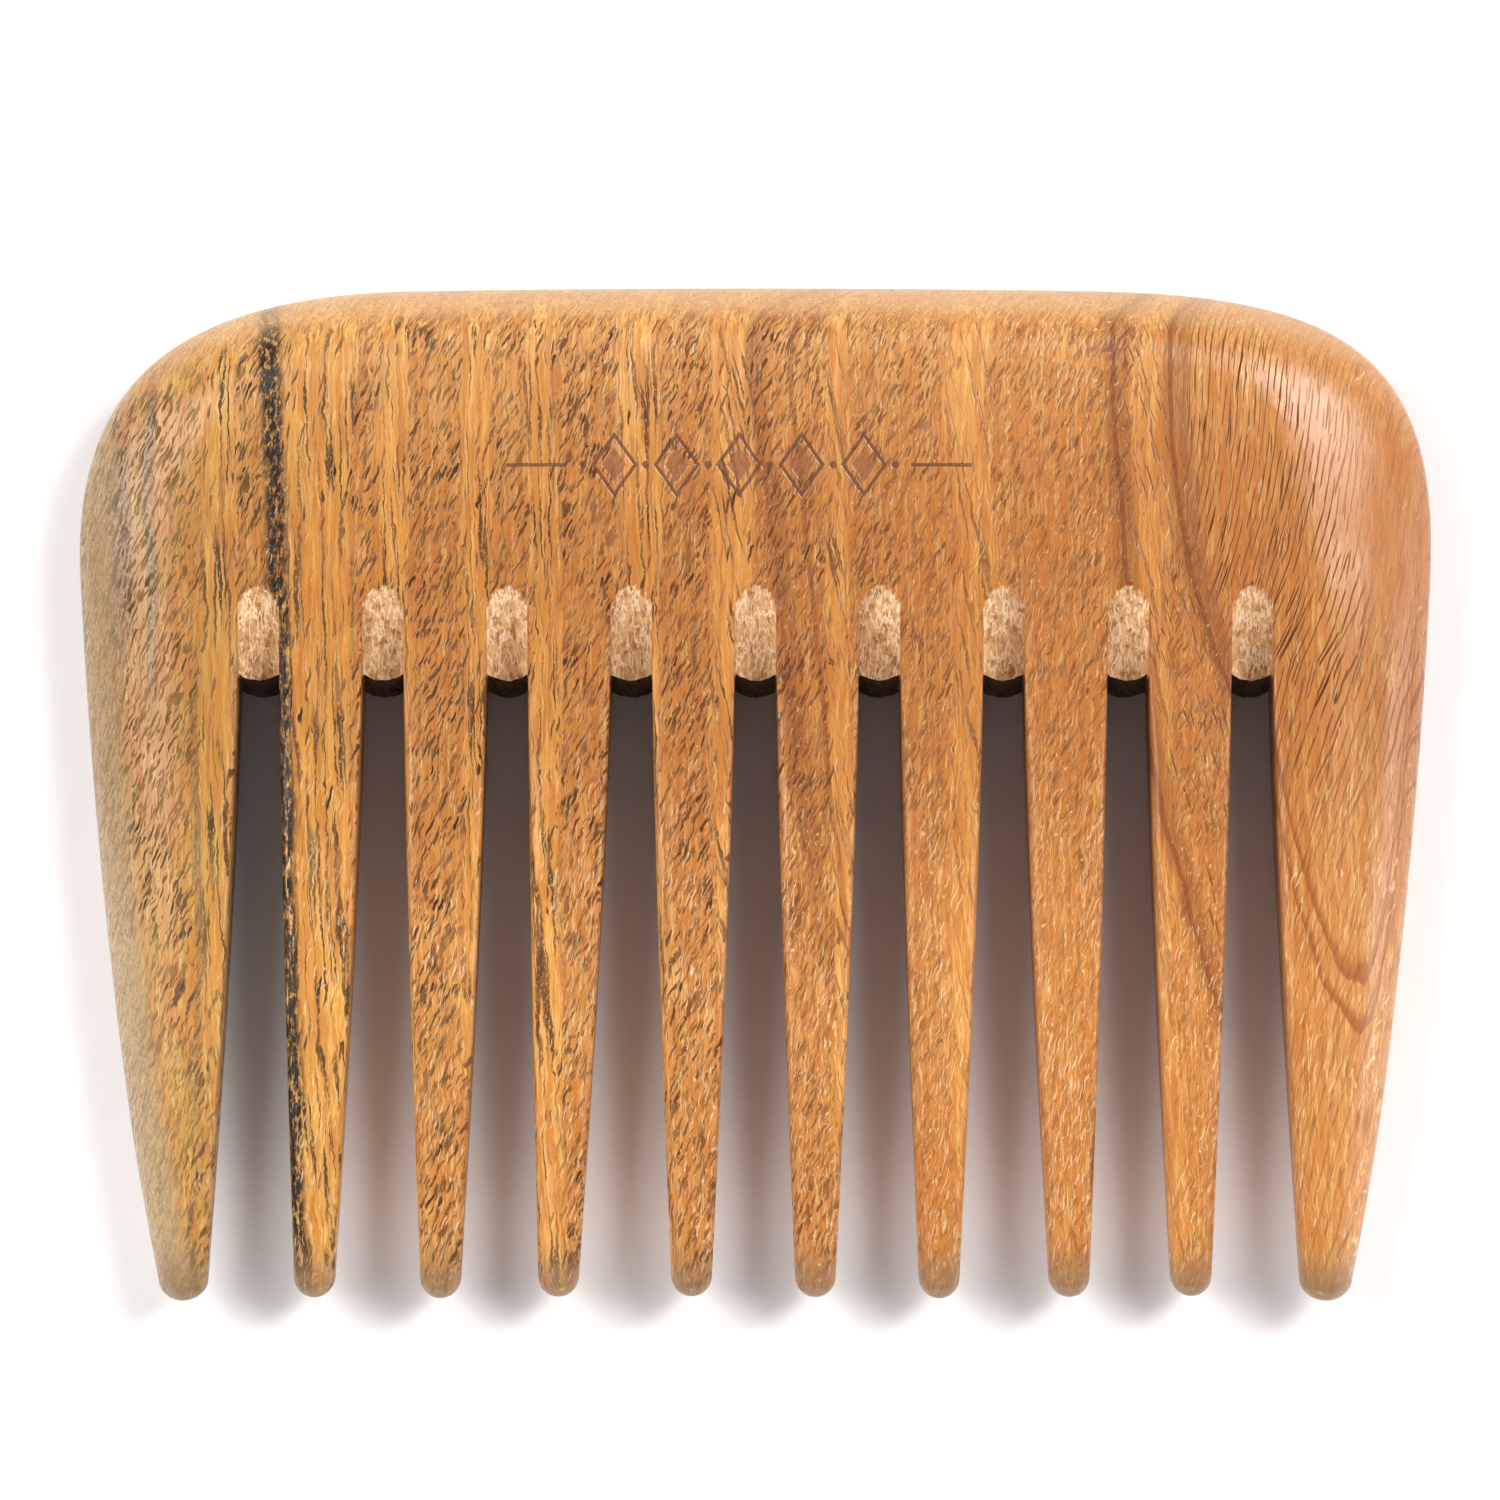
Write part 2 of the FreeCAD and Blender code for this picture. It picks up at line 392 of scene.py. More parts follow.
def gap_x(gap, station):
    """Place of a gap's column: the trench's lip, its foot, then evenly across its floor."""
    left, right = gap_walls(gap)
    if station == 1:
        return left
    if station == GAP_COLUMNS - 1:
        return right
    foot = 0.1
    f = (station - 2) / (GAP_COLUMNS - 4)
    return lerp(left + foot, right - foot, f)


def base_x(column):
    """Where a column crosses the shoulder line."""
    tooth, gap, place = COLUMNS[column]
    if gap is not None:
        return gap_x(gap, place)
    left, right = walls(tooth, SHOULDER_Y)
    left_round, right_round = rounds(tooth, SHOULDER_Y)
    return lerp(left + left_round, right - right_round, (place + 1) / 2)


def tooth_plan(tooth, place, row, z, inset):
    """A point of a tooth's face (inset 1) or waist (inset 0), below the shoulder line."""
    y = row_y(row, z, tooth)
    left, right = walls(tooth, y)
    left_round, right_round = rounds(tooth, y)
    left += left_round * inset
    right -= right_round * inset
    half = (right - left) / 2
    middle = (right + left) / 2
    if row >= TIP_ROWS:
        return Vector((middle + half * place, y))
    t = 1 - row / TIP_ROWS
    run = TIP_RUN - TIP_EDGE * inset
    across = place * math.sqrt(1 - t * t / 2)
    along = t * math.sqrt(1 - place * place / 2)
    size = math.hypot(across, along)
    if size > 1e-9:
        power = TIP_SQUARE
        swell = ((abs(across) / size) ** power + (along / size) ** power) ** (-1 / power)
        swell = lerp(1, swell, size)
        across *= swell
        along *= swell
    return Vector((middle + half * across, tip_start(tooth) - run * along))


def profile(level, reach, half):
    """(how far out, height over the middle) of a level of the edge's rounding."""
    straight = half - reach
    middle = straight / (straight + 2.0)
    place = level / LEVELS * (2 + middle)
    if place < 1:
        angle = math.radians(90 * (1 - place))
        return math.cos(angle), -straight - reach * math.sin(angle)
    if place <= 1 + middle:
        share = (place - 1) / middle if middle > 1e-9 else 0.5
        return 1.0, lerp(-straight, straight, share)
    angle = math.radians(90 * (place - 1 - middle))
    return math.cos(angle), straight + reach * math.sin(angle)


def face_z(x, y, up):
    """Height of the front (up 1) or back (up -1) face, with the slight waviness of hand sanding."""
    half = half_thickness(y)
    wave = 0.05 * noise.noise(Vector((x / 17, y / 23, 3.0 * up)))
    if up < 0:
        wave = min(0.0, wave) * smooth(JOIN_Y, JOIN_Y - 10, y)
    return MID_Z + up * (half + wave * up)


def facet_drop(spot):
    """How far the sanded facet on the right shoulder lowers the front face."""
    beyond = (spot.x - FACET_POINT[0]) * FACET_OUT[0] + (spot.y - FACET_POINT[1]) * FACET_OUT[1]
    eased = max(0.0, beyond) ** 2 / (abs(beyond) + 0.5)
    return FACET_SLOPE * eased * smooth(10, 19, spot.y)


def is_rim(column, row):
    tooth, gap, place = COLUMNS[column]
    if row in (0, TOP_ROW) or column in (0, len(COLUMNS) - 1):
        return True
    if gap is not None:
        return row == ROOT_ROW
    return row <= ROOT_ROW and abs(place) == 1


def rim_point(column, row, level):
    """A point on the outer rim or on the walls of a slot."""
    tooth, gap, place = COLUMNS[column]
    last = len(COLUMNS) - 1
    if row == TOP_ROW:
        out, rise = profile(level, MID_Z, MID_Z)
        face = spine_edge(base_x(column), 1)
        waist = spine_edge(base_x(column), 0)
    elif row >= SHOULDER_ROW:
        out, rise = profile(level, MID_Z, MID_Z)
        side = -1 if column == 0 else 1
        v = (row - SHOULDER_ROW) / SPINE_ROWS
        face = side_edge(side, v, 1)
        waist = side_edge(side, v, 0)
    elif gap is not None:
        return root_point(gap, place, level)
    else:
        y = row_y(row, MID_Z, tooth)
        half = half_thickness(y)
        outer = (tooth == 0 and place < 0) or (tooth == TEETH - 1 and place > 0)
        if row <= TIP_ROWS and tooth in (0, TEETH - 1):
            share = abs(place) if outer else 0.0
            reach = lerp(wall_round(y), half, share)
        else:
            reach = half if outer else wall_round(y)
        if row < TIP_ROWS:
            y_end = tip_start(tooth) - TIP_RUN
            reach = max(reach, lerp(wall_round(y), 1.5, smooth(y_end + 4, y_end, y)))
        out, rise = profile(level, reach, half)
        z = MID_Z + rise
        face = tooth_plan(tooth, place, row, z, 1)
        waist = tooth_plan(tooth, place, row, z, 0)
        if row == ROOT_ROW and not outer and column not in (0, last) and 0 < level < LEVELS:
            face.y -= 0.3
            waist.y -= 0.3
    point = face.lerp(waist, out)
    return Vector((point.x, point.y, MID_Z + rise))


def root_point(gap, station, level):
    """A point on the slot's root, or beside it on the wall."""
    left, right = gap_walls(gap)
    x = gap_x(gap, station)
    if station in (1, GAP_COLUMNS - 1):
        z = MID_Z + profile(level, TRENCH_EDGE, MID_Z - TRENCH_EDGE)[1]
        back = 0.15 if 0 < level < LEVELS else 0.0
        return Vector((x, land_y(z) - back, z))
    middle = (left + right) / 2
    share = (x - middle) / (KERF / 2)
    bulge = LAND_BULGE * (1 - share**2)
    foot_z = ramp_z(x - middle, LAND_Y - LAND_SLOPE - bulge, REAR_RAMP, -1)
    ridge_z = ramp_z(x - middle, LAND_Y - bulge, FRONT_RAMP, 1)
    z = lerp(foot_z, ridge_z, level / LEVELS)
    y = land_y(z) - bulge
    ragged = 0.1 * noise.noise(Vector((x * 1.9, z * 0.9, gap)))
    return Vector((x, y + ragged, z))


def sheet_point(column, row, up):
    """A point on the front or back face, or on the floor of a gullet."""
    tooth, gap, place = COLUMNS[column]
    z = MID_Z + up * MID_Z
    if row >= SHOULDER_ROW:
        spot = coons(base_x(column), (row - SHOULDER_ROW) / SPINE_ROWS)
    elif tooth is not None:
        spot = tooth_plan(tooth, place, row, z, 1)
    else:
        spot = Vector((gap_x(gap, place), row_y(row, z)))
    z = face_z(spot.x, spot.y, up)
    if gap is not None and row < SHOULDER_ROW:
        z = gullet_z(gap, place, spot, z, up)
    return Vector((spot.x, spot.y, z))


def gullet_z(gap, station, spot, z, up):
    """Lowers the face to the floor of the gullet, with its torn fibres."""
    left, right = gap_walls(gap)
    off = spot.x - (left + right) / 2
    floor = ramp_z(off, spot.y, FRONT_RAMP if up > 0 else REAR_RAMP, up)
    depth = up * (z - floor)
    if depth <= 0:
        return z
    if station in (1, GAP_COLUMNS - 1):
        return z - up * min(depth, TRENCH_EDGE)
    fibre = noise.noise(Vector((spot.x * 2.6, spot.y * 0.8, 7.0 * gap + up)))
    fine = noise.noise(Vector((spot.x * 5.5, spot.y * 2.2, 3.0 * gap + up)))
    torn = TORN_DEPTH * (fibre + 0.6 * fine) * smooth(0, 0.5, depth)
    return floor + torn


# --- the comb ---


def index_block():
    """The comb as a block of unit cells, one for each column, row and level, without the slots."""
    across = len(COLUMNS) - 1
    mesh = bmesh.new()
    bmesh.ops.create_grid(mesh, x_segments=across, y_segments=TOP_ROW, size=0.5)
    for vert in mesh.verts:
        vert.co.x = round((vert.co.x + 0.5) * across)
        vert.co.y = round((vert.co.y + 0.5) * TOP_ROW)
    in_slot = []
    for face in mesh.faces:
        middle = face.calc_center_median()
        ends = (COLUMNS[int(middle.x)], COLUMNS[int(middle.x) + 1])
        if middle.y < ROOT_ROW and any(gap is not None for tooth, gap, place in ends):
            in_slot.append(face)
    bmesh.ops.delete(mesh, geom=in_slot, context="FACES")
    made = bmesh.ops.extrude_face_region(mesh, geom=mesh.faces[:], use_keep_orig=True)
    raised = [item for item in made["geom"] if isinstance(item, bmesh.types.BMVert)]
    bmesh.ops.translate(mesh, verts=raised, vec=(0, 0, LEVELS))
    upright = [e for e in mesh.edges if abs(e.verts[0].co.z - e.verts[1].co.z) > 0.5]
    bmesh.ops.subdivide_edges(mesh, edges=upright, cuts=LEVELS - 1, use_grid_fill=True)
    bmesh.ops.recalc_face_normals(mesh, faces=mesh.faces)
    return mesh


def shape_comb(mesh):
    torn = mesh.verts.layers.float.new("torn")
    for vert in mesh.verts:
        column, row, level = (round(value) for value in vert.co)
        if is_rim(column, row):
            vert.co = rim_point(column, row, level)
        else:
            vert.co = sheet_point(column, row, 1 if level else -1)
        if vert.co.z > MID_Z:
            vert.co.z -= facet_drop(vert.co) * (vert.co.z - MID_Z) / MID_Z
        tooth, gap, place = COLUMNS[column]
        in_gullet = gap is not None and ROOT_ROW <= row < SHOULDER_ROW
        if in_gullet and 1 < place < GAP_COLUMNS - 1 and 0.12 < vert.co.z < THICKNESS - 0.12:
            vert[torn] = 1.0


def build_comb():
    mesh = index_block()
    shape_comb(mesh)
    bmesh.ops.remove_doubles(mesh, verts=mesh.verts, dist=0.004)
    bmesh.ops.scale(mesh, verts=mesh.verts, vec=(MM, MM, MM))
    for face in mesh.faces:
        face.smooth = True
    for edge in mesh.edges:
        if len(edge.link_faces) == 2 and edge.calc_face_angle() > math.radians(38):
            edge.smooth = False
    data = bpy.data.meshes.new("carved_comb")
    mesh.to_mesh(data)
    mesh.free()
    comb = bpy.data.objects.new("carved_comb", data)
    bpy.context.scene.collection.objects.link(comb)
    return comb


comb = build_comb()
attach(comb, "root")
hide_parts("comb")


class Graph:
    """The node graph of one material."""

    def __init__(self, name):
        self.material = bpy.data.materials.new(name)
        self.material.use_nodes = True
        self.tree = self.material.node_tree
        self.shader = self.tree.nodes["Principled BSDF"]

    def feed(self, socket, value):
        if isinstance(value, Signal):
            self.tree.links.new(value.socket, socket)
        else:
            socket.default_value = value

    def add(self, kind, **settings):
        node = self.tree.nodes.new(kind)
        for name, value in settings.items():
            setattr(node, name, value)
        return node

    def math(self, operation, *values):
        node = self.add("ShaderNodeMath", operation=operation)
        for socket, value in zip(node.inputs, values):
            self.feed(socket, value)
        return Signal(self, node.outputs[0])

    def split(self, vector):
        node = self.add("ShaderNodeSeparateXYZ")
        self.feed(node.inputs[0], vector)
        return [Signal(self, socket) for socket in node.outputs]

    def join(self, *parts):
        node = self.add("ShaderNodeCombineXYZ")
        for socket, value in zip(node.inputs, parts):
            self.feed(socket, value)
        return Signal(self, node.outputs[0])

    def step(self, low, high, value):
        """A smooth step from 0 at low to 1 at high."""
        node = self.add("ShaderNodeMapRange", interpolation_type="SMOOTHSTEP")
        for socket, part in zip(node.inputs, (value, low, high, 0.0, 1.0)):
            self.feed(socket, part)
        return Signal(self, node.outputs[0])

    def noise(self, x, y, z, detail=2.0, roughness=0.5):
        node = self.add("ShaderNodeTexNoise")
        self.feed(node.inputs["Vector"], self.join(x, y, z))
        node.inputs["Scale"].default_value = 1.0
        node.inputs["Detail"].default_value = detail
        node.inputs["Roughness"].default_value = roughness
        return Signal(self, node.outputs["Fac"])

    def cells(self, x, y, z):
        """The middle of the random cell around a point, and three random numbers for the cell."""
        node = self.add("ShaderNodeTexVoronoi")
        self.feed(node.inputs["Vector"], self.join(x, y, z))
        node.inputs["Scale"].default_value = 1.0
        middle = self.split(Signal(self, node.outputs["Position"]))
        return middle, self.split(Signal(self, node.outputs["Color"]))

    def mix(self, share, first, second, blend="MIX"):
        node = self.add("ShaderNodeMix", data_type="RGBA", blend_type=blend)
        for index, value in ((0, share), (6, first), (7, second)):
            if isinstance(value, tuple):
                value = (*value, 1.0)
            self.feed(node.inputs[index], value)
        return Signal(self, node.outputs[2])

    def mix_value(self, share, first, second):
        node = self.add("ShaderNodeMix", data_type="FLOAT")
        for index, value in ((0, share), (2, first), (3, second)):
            self.feed(node.inputs[index], value)
        return Signal(self, node.outputs[0])

    def ramp(self, value, stops):
        node = self.add("ShaderNodeValToRGB")
        self.feed(node.inputs[0], value)
        points = node.color_ramp.elements
        while len(points) < len(stops):
            points.new(0.5)
        for point, (position, color) in zip(points, stops):
            point.position = position
            point.color = (*color, 1.0)
        return Signal(self, node.outputs[0])


class Signal:
    """A shader socket that takes part in arithmetic."""

    def __init__(self, graph, socket):
        self.graph = graph
        self.socket = socket

    def __add__(self, other):
        return self.graph.math("ADD", self, other)

    def __radd__(self, other):
        return self.graph.math("ADD", other, self)

    def __sub__(self, other):
        return self.graph.math("SUBTRACT", self, other)

    def __rsub__(self, other):
        return self.graph.math("SUBTRACT", other, self)

    def __mul__(self, other):
        return self.graph.math("MULTIPLY", self, other)

    def __rmul__(self, other):
        return self.graph.math("MULTIPLY", other, self)

    def __truediv__(self, other):
        return self.graph.math("DIVIDE", self, other)

    def __abs__(self):
        return self.graph.math("ABSOLUTE", self)


def dashes(graph, spot, cell, slant, half_width, half_length, amount):
    """Random slanted dashes, one in each cell. amount is the share of the cells that have one."""
    scaled = [axis / size for axis, size in zip(spot, cell)]
    middle, chance = graph.cells(*scaled)
    off_x = (scaled[0] - middle[0]) * cell[0]
    off_y = (scaled[1] - middle[1]) * cell[1]
    away = (off_x - off_y * (slant + (chance[2] - 0.5) * 0.25)) / (half_width * (0.6 + chance[1] * 0.8))
    along = off_y / (half_length * (0.5 + chance[2] * 0.9))
    far = graph.math("SQRT", away * away + along * along)
    there = graph.step(amount, amount - 0.06, chance[0])
    return (1.0 - graph.step(0.5, 1.1, far)) * there * (0.72 + chance[1] * 0.28)


def line(graph, x, y, middle, half_width, wander=0.8):
    """A line down the grain. middle is its place across the comb, as a function of y."""
    drift = (graph.noise(y / 9, middle, 0.0) - 0.5) * wander
    return 1.0 - graph.step(half_width * 0.35, half_width, abs(x - middle - drift))


def strongest(graph, parts):
    total = parts[0]
    for part in parts[1:]:
        total = graph.math("MAXIMUM", total, part)
    return total


def burned_band(graph, x, y):
    """The plain band burned on the front: lozenges, pips between them and a rule at each end.
    Gives the burned lines and the burned fillings."""
    off = x - BAND_MIDDLE[0]
    up = abs(y - BAND_MIDDLE[1])
    far = abs(off)
    inside = graph.step(LOZENGES / 2 * LOZENGE_PITCH, LOZENGES / 2 * LOZENGE_PITCH - 0.05, far)
    turn = graph.math("PINGPONG", off, LOZENGE_PITCH / 2)
    lozenge = turn / LOZENGE[0] + up / LOZENGE[1]
    outline = graph.step(0.14, 0.08, abs(lozenge - 1.0)) * inside
    filled = graph.step(0.62, 0.56, lozenge) * inside
    gap = LOZENGE_PITCH / 2 - turn
    pip = graph.math("SQRT", gap * gap + up * up)
    pip = graph.step(0.32, 0.24, pip) * graph.step(12.5, 12.3, far)
    rule = graph.step(0.16, 0.1, up) * graph.step(12.6, 12.7, far) * graph.step(17.4, 17.0, far)
    return strongest(graph, [outline, pip, rule]), filled


def growth_places(graph, y):
    """Where the growth lines cross: two in the middle and two at the right. They hook over at the
    spine's top edge."""
    rise = graph.math("MAXIMUM", y - 33.0, 0.0)
    hook = rise * rise * rise * 0.045
    drop = graph.math("MAXIMUM", 30.0 - y, 0.0)
    bend = graph.math("MAXIMUM", 15.0 - y, 0.0)
    middle = (hook + 0.3 + drop * 0.11, hook + 3.0 + drop * 0.09)
    right = (
        hook + 26.4 + drop * 0.085 + bend * bend * 0.0045,
        hook + 30.9 + drop * drop * 0.009,
    )
    return middle, right


class Grain:
    """Where a point lies in the board, in millimetres, and what the grain is like there."""

    def __init__(self, graph):
        coordinates = graph.add("ShaderNodeTexCoord")
        place = graph.split(Signal(graph, coordinates.outputs["Object"]))
        x, y, z = (axis * (1 / MM) for axis in place)
        self.x, self.y, self.z = x, y, z
        self.facing_y = graph.split(Signal(graph, coordinates.outputs["Normal"]))[1]
        torn = graph.add("ShaderNodeAttribute", attribute_name="torn")
        self.torn = Signal(graph, torn.outputs["Fac"])
        self.end = graph.step(0.4, 0.85, abs(self.facing_y)) * (1.0 - self.torn)

        # The growth rings lean through the board, so the figure shifts with the depth
        self.deep = (z - THICKNESS) * 0.35
        self.drift = graph.noise(x / 15, y / 26, z / 14)
        sway = (graph.noise(x / 1.5, y / 6, z / 5, 2.0) - 0.5) * 0.8
        self.sway = sway + (graph.noise(x * 1.3, y * 1.0, z, 2.0) - 0.5) * 0.45
        self.across = x + self.deep + (self.drift - 0.5) * 2.2
        self.wavy = x + self.deep + self.sway
        self.fibre = graph.noise(self.wavy * 3.4, y * 0.13, z * 1.6, 4.0, 0.65)
        self.grit = graph.noise(x * 7.0, y * 2.6, z * 5.0, 3.0, 0.7)

        # Ribbons of smooth golden grain between rougher brown ones
        ragged = self.across + (graph.noise(x * 2.2, y * 0.22, z, 3.0, 0.6) - 0.5) * 2.4
        self.ribbon = strongest(graph, [
            graph.step(half * 1.35, half * 0.65, abs(ragged - middle)) for middle, half in RIBBONS
        ])
        self.rough = 1.0 - self.ribbon

        # Right of the last growth line the grain is straight, with regular broken lines
        self.middle_lines, self.right_lines = growth_places(graph, y)
        drop = graph.math("MINIMUM", graph.math("MAXIMUM", 30.0 - y, 0.0), 22.0)
        self.right = graph.step(29.5, 33.0, x - drop * drop * 0.009)

    def tone(self, graph, stops):
        """A colour that changes from the comb's left side to its right."""
        return graph.ramp(self.across / WIDTH + 0.5, stops)


def plain_board(graph, grain):
    """The ribbons' own tones, with long fibres in them, and a painted sheen that lightens the upper
    part of the spine.
    """
    y, z, wavy = grain.y, grain.z, grain.wavy
    wood = graph.mix(grain.ribbon, grain.tone(graph, ROUGH), grain.tone(graph, GOLDEN))
    # Painted sheen: the upper part of the spine is lightened, standing in for the light that falls on
    # it.
    wood = graph.mix(graph.step(18.0, 36.0, y) * 0.35, wood, PAINTED_TOP_SHEEN)
    wood = graph.mix(graph.step(0.42, 0.75, grain.fibre) * 0.75, wood, RED_BROWN)
    pale = graph.noise(wavy * 4.6 + 9.0, y * 0.3, z * 2.0, 3.0, 0.65)
    wood = graph.mix(graph.step(0.52, 0.72, pale) * 0.35, wood, PALE_FIBRE)
    silk = graph.noise(wavy * 9.0, y * 0.25, z * 4.0, 2.0)
    wood = graph.mix(graph.step(0.5, 0.68, silk) * 0.35, wood, SILK)
    wood = graph.mix(graph.step(0.5, 0.32, silk) * 0.35, wood, RED_BROWN)
    ruddy = graph.noise(wavy * 1.7 + 4.0, y * 0.09, z, 3.0, 0.6)
    wood = graph.mix(graph.step(0.48, 0.57, ruddy) * 0.5, wood, RUDDY)
    return graph.mix(graph.step(0.5, 0.72, grain.grit) * 0.3, wood, RED_BROWN)


def late_wood(graph, grain, wood):
    """Growth lines, each a dark core with a soft shade beside it."""
    x, y, across = grain.x, grain.y, grain.across
    first, second = grain.middle_lines
    third, fourth = grain.right_lines
    low_fade = graph.step(-22.0, 4.0, y)
    above_tip = graph.step(-26.0, -22.0, y)
    above_root = graph.step(1.0, 7.0, y)
    growth = strongest(graph, [
        line(graph, across, y, first, 1.1) * low_fade * 0.5,
        line(graph, across, y, first - 0.2, 0.24) * low_fade * 0.8,
        line(graph, across, y, second, 0.28) * low_fade * 0.7,
        line(graph, x, y, third, 1.3) * above_tip * 0.55,
        line(graph, x, y, third - 0.2, 0.34) * above_tip,
        line(graph, x, y, fourth, 1.5) * above_root * 0.55,
        line(graph, x, y, fourth - 0.4, 0.32) * above_root,
    ])
    return graph.mix(growth * 0.85, wood, LATE_WOOD)


def guard_arches(graph, grain, wood):
    """Nested arches of late wood on the right guard, open towards the spine."""
    x, y = grain.x, grain.y
    off = x - ARCH_FOOT[0]
    bow = off * off * graph.mix_value(graph.step(-0.4, 0.4, off), *ARCH_BOW)
    rough_edge = (graph.noise(x / 2, y / 3, 0.0, 3.0) - 0.5) * 2.5
    nested = (y - ARCH_FOOT[1] - bow + rough_edge) / ARCH_PITCH
    arch = graph.math("FRACT", nested)
    arch = graph.step(0.0, 0.1, arch) * graph.step(0.6, 0.15, arch)
    arch = arch * graph.step(-0.05, 0.0, nested) * graph.step(2.4, 1.6, nested)
    arch = arch * graph.step(37.5, 38.5, x)
    return graph.mix(arch * 0.85, wood, ARCH)


def sanded_share(graph, grain):
    """The facet on the right shoulder, closed and polished by sanding."""
    x, y = grain.x, grain.y
    beyond = (x - POLISH_POINT[0]) * POLISH_OUT[0] + (y - POLISH_POINT[1]) * POLISH_OUT[1]
    return graph.step(-0.6, 0.8, beyond) * graph.step(9.0, 15.0, y) * graph.step(36.5, 33.5, y)


def fanned_lines(graph, grain, sanded):
    """Regular broken lines at the right, which fan out towards the guard."""
    x, y, z = grain.x, grain.y, grain.z
    drop = graph.math("MINIMUM", graph.math("MAXIMUM", 33.0 - y, 0.0), 23.0)
    below = graph.math("MAXIMUM", 10.0 - y, 0.0)
    opened = 0.5 + graph.step(47.0, 37.0, x) * 0.5
    fan = x + grain.deep + grain.sway * 0.08 + drop * drop * opened * 0.009 + below * 0.2
    wobbly = fan + (graph.noise(x / 2, y / 7, z / 3) - 0.5) * 0.5
    regular = graph.step(0.06, 0.02, graph.math("PINGPONG", wobbly, 0.22))
    regular = regular * graph.step(0.40, 0.5, graph.noise(wobbly * 1.9, y * 0.4, 3.0, 2.0))
    longer = dashes(graph, (fan, y, z), (0.45, 4.0, 2.5), 0.0, 0.065, 2.0, 0.6)
    lines = graph.math("MAXIMUM", regular * 0.85, longer) * grain.right
    lines = lines * (0.55 + graph.step(46.5, 42.0, x) * 0.45)
    lines = lines * (0.45 + graph.step(-6.0, 10.0, y) * 0.55)
    return lines * (1.0 - sanded * 0.55)


def feathered_lines(graph, grain):
    """Lines between the two growth lines at the right, which lean the other way."""
    x, y, z = grain.x, grain.y, grain.z
    feather = dashes(graph, (x, y, z), (0.5, 3.0, 2.0), -0.33, 0.075, 1.6, 0.7)
    return feather * graph.step(0.2, 1.0, x - grain.right_lines[0]) * (1.0 - grain.right) * 0.8


def open_pores(graph, grain):
    """Short slanted pores in the rough ribbons, and long thin ones in the golden ribbons."""
    x, y, z, wavy = grain.x, grain.y, grain.z, grain.wavy
    lean = 0.16 + grain.rough * 0.28
    spot = (wavy, y, z)
    short = dashes(graph, spot, (0.5, 2.0, 1.4), lean, 0.105, 1.15, 0.22 + grain.rough * 0.6)
    second = (wavy + 31.7, y - 12.3, z)
    fine = dashes(graph, second, (0.36, 1.3, 1.2), lean, 0.075, 0.8, grain.rough * 0.8)
    ticks = graph.noise((wavy - y * 0.34) * 2.5, y * 0.5, z, 3.0, 0.6)
    ticks = graph.step(0.55, 0.62, ticks) * grain.rough
    flow = graph.mix_value(graph.step(-6.0, -4.0, x), wavy + y * 0.03, wavy + y * 0.2)
    thin = graph.noise(flow * 3.2, y * 0.09, z, 2.0, 0.6)
    thin = graph.step(0.53, 0.6, thin) * graph.step(0.33, 0.46, grain.grit) * grain.ribbon
    pores = strongest(graph, [short, fine * 0.85, ticks * 0.8, thin * 0.9])
    calm = graph.step(-6.0, 20.0, x) * (graph.step(8.0, -12.0, y) * 0.25 + 0.3)
    uneven = graph.step(0.35, 0.6, graph.noise(x / 2.5, y / 4, z / 4, 2.0)) * 0.35 + 0.65
    return pores * uneven * (1.0 - calm) * (1.0 - grain.right)


def black_streak(graph, grain, wood):
    """The broken black line down the grain at the left. Gives the wood with it, and the line."""
    x, y, z = grain.x, grain.y, grain.z
    grains = graph.noise(x * 2.6, y * 1.1, z * 2.0, 4.0, 0.75)
    streak = line(graph, x, y, (15.0 - y) * 0.025 - 35.2 + grain.sway * 0.5, 1.2, 1.2)
    return graph.mix(streak * graph.step(0.38, 0.53, grains), wood, BLACK), streak


def weathered_side_and_sheen(graph, grain, wood):
    """Olive and grey weathered grain along the left side; the grey band along the rounded edge is
    partly painted sheen.
    """
    x, y, z = grain.x, grain.y, grain.z
    speckle = graph.noise(x * 5.0, y * 3.2, z * 4.0, 3.0, 0.7)
    left = graph.step(-36.0, -44.0, x)
    olive = graph.step(0.45, 0.65, graph.noise(x / 2.2, y / 9, z / 5, 2.0))
    wood = graph.mix(left * olive * 0.3, wood, OLIVE)
    smudge = strongest(graph, [
        line(graph, x, y, -46.8, 1.3, 2.5) * graph.step(6.0, 14.0, y) * graph.step(30.0, 22.0, y),
        line(graph, x, y, -44.6, 0.6, 1.5) * graph.step(2.0, 16.0, y) * graph.step(34.0, 28.0, y),
        line(graph, x, y, -41.2, 0.4, 2.5) * graph.step(16.0, 4.0, y) * 0.6,
    ])
    wood = graph.mix(smudge * graph.step(0.35, 0.6, speckle) * 0.75, wood, SMUDGE)
    low = graph.math("MAXIMUM", SHOULDER_Y - y, 0.0)
    inset = x + WIDTH / 2 - low * SIDE_SLOPE - low * low * SIDE_BOW + (grain.drift - 0.5) * 1.5
    # The grey band along the rounded left edge is partly weathered wood and partly painted sheen,
    # standing in for the reflection there.
    weathered_and_sheen_band = graph.step(3.4, 1.6, inset)
    wood = graph.mix(weathered_and_sheen_band * 0.5, wood, WEATHERED_AND_SHEEN_GREY)
    return graph.mix(weathered_and_sheen_band * graph.step(0.45, 0.6, speckle) * 0.6, wood, WEATHERED_SPECK)


